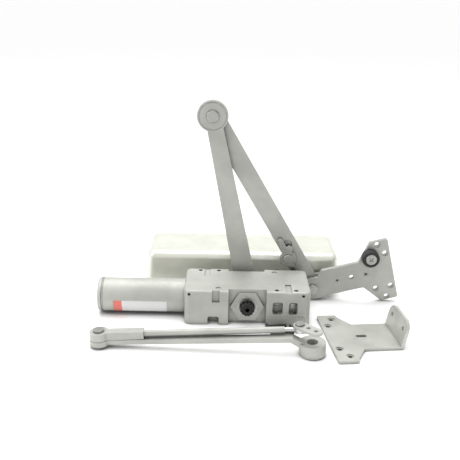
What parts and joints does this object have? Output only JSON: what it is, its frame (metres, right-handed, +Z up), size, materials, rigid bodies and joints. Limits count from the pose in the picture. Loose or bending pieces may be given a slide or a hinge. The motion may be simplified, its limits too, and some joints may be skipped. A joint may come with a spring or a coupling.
{
  "type": "door closer",
  "caption": "Heavy-duty surface door closer kit: rack-and-pinion body with spring tube, hold-open arm, cover, regular arm and soffit plate.",
  "frame": {"origin": "foot of the spindle axis on the body's mounting face", "axes": "+X along the body away from the spring tube, +Y to the hold-open arm's side, +Z up from the mounting face"},
  "size_m": [0.4674, 0.3228, 0.316],
  "materials": {
    "body_paint": "satin silver paint",
    "arm_paint": "satin mid-grey paint",
    "cover_paint": "satin warm silver paint",
    "machined": "machined steel",
    "black_steel": "black oxide steel",
    "plated": "zinc plated steel",
    "bumper_rubber": "matt",
    "seal_rubber": "matt",
    "plate_paint": "satin silver paint"
  },
  "bodies": {
    "closer_body": {"body_casting": "body_paint", "spring_tube": "body_paint", "end_cap": "body_paint", "spring_seat": "machined", "end_plug": "machined", "end_plug_seal": "seal_rubber", "front_bearing": "machined", "rear_bearing": "machined", "front_seal": "seal_rubber", "rear_seal": "seal_rubber", "front_nut": "body_paint", "rear_nut": "body_paint"},
    "piston": {"rack_piston": "machined", "piston_seal": "seal_rubber", "check_ball": "machined", "main_spring": "machined"},
    "spring_adjuster": {"spring_adjuster": "machined"},
    "spindle_arm": {"spindle": "black_steel", "main_arm": "arm_paint", "arm_washer": "plated", "arm_screw": "plated", "elbow_pin": "plated", "elbow_washer": "plated"},
    "forearm": {"forearm": "arm_paint", "lever_rivet": "plated"},
    "hold_open_lever": {"hold_open_lever": "plated"},
    "shoe": {"shoe_bracket": "arm_paint", "shoe_pin": "plated", "set_screws": "plated", "bumper": "bumper_rubber", "bumper_screw": "plated"},
    "sweep_valve": {"sweep_valve": "machined"},
    "latch_valve": {"latch_valve": "machined"},
    "backcheck_valve": {"backcheck_valve": "machined"},
    "cover": {"cover": "cover_paint"},
    "spare_arm": {"spare_arm": "body_paint", "spare_elbow_pin": "plated"},
    "spare_forearm": {"spare_forearm": "body_paint"},
    "spare_rod": {"spare_rod": "machined", "spare_shoe_pin": "plated"},
    "spare_shoe": {"spare_shoe": "body_paint"},
    "soffit_plate": {"soffit_plate": "plate_paint"},
    "mounting_screws": {"mounting_screws": "black_steel"}
  },
  "joints": [
    {"name": "spindle_turn", "type": "hinge", "parent": "closer_body", "child": "spindle_arm", "pos_m": [0, 0, 0.027], "axis": [0, -1, 0], "range_deg": [0, 75], "stiffness_Nm_per_rad": 8, "springref_deg": -57.3},
    {"name": "piston_slide", "type": "slide", "parent": "closer_body", "child": "piston", "axis": [-1, 0, 0], "range_m": [0, 0.0165]},
    {"name": "elbow_hinge", "type": "hinge", "parent": "spindle_arm", "child": "forearm", "pos_m": [-0.056, 0.058, 0.293], "axis": [0, -1, 0], "range_deg": [0, 120]},
    {"name": "shoe_hinge", "type": "hinge", "parent": "forearm", "child": "shoe", "pos_m": [0.107, 0.058, 0.019], "axis": [0, -1, 0], "range_deg": [0, 25]},
    {"name": "hold_open_turn", "type": "hinge", "parent": "forearm", "child": "hold_open_lever", "pos_m": [0.06521, 0.052, 0.0693], "axis": [0, -1, 0], "range_deg": [0, 20]},
    {"name": "adjuster_turn", "type": "hinge", "parent": "closer_body", "child": "spring_adjuster", "pos_m": [-0.22, 0, 0.027], "axis": [-1, 0, 0], "range_deg": [0, 180]},
    {"name": "sweep_valve_turn", "type": "hinge", "parent": "closer_body", "child": "sweep_valve", "pos_m": [0.04465, -0.026, 0.027], "axis": [0, -1, 0], "range_deg": [0, 180]},
    {"name": "latch_valve_turn", "type": "hinge", "parent": "closer_body", "child": "latch_valve", "pos_m": [0.0675, -0.026, 0.027], "axis": [0, -1, 0], "range_deg": [0, 180]},
    {"name": "backcheck_turn", "type": "hinge", "parent": "closer_body", "child": "backcheck_valve", "pos_m": [0.088, 0, 0.027], "axis": [1, 0, 0], "range_deg": [0, 180]},
    {"name": "cover_lift", "type": "slide", "parent": "closer_body", "child": "cover", "axis": [0, 0, 1], "range_m": [0, 0.1]},
    {"name": "spare_arm_lift", "type": "slide", "parent": "closer_body", "child": "spare_arm", "axis": [0, 0, 1], "range_m": [0, 0.05]},
    {"name": "spare_elbow", "type": "hinge", "parent": "spare_arm", "child": "spare_forearm", "pos_m": [-0.20522, -0.10895, 0.01472], "axis": [0.0558, -0.0023, -0.9984], "range_deg": [0, 90]},
    {"name": "spare_rod_slide", "type": "slide", "parent": "spare_forearm", "child": "spare_rod", "axis": [0.9984, -0.0113, 0.0558], "range_m": [0, 0.05]},
    {"name": "spare_shoe_turn", "type": "hinge", "parent": "spare_rod", "child": "spare_shoe", "pos_m": [0.07, -0.11206, 0.03611], "axis": [-0.0558, 0.0023, 0.9984], "range_deg": [-30, 90]},
    {"name": "soffit_plate_lift", "type": "slide", "parent": "closer_body", "child": "soffit_plate", "axis": [0, 0, 1], "range_m": [0, 0.05]},
    {"name": "screws_lift", "type": "slide", "parent": "closer_body", "child": "mounting_screws", "axis": [0, 0, 1], "range_m": [0, 0.05]}
  ],
  "couplings": [
    {"joint": "piston_slide", "follows": "spindle_turn", "m_per_rad": 0.012}
  ]
}
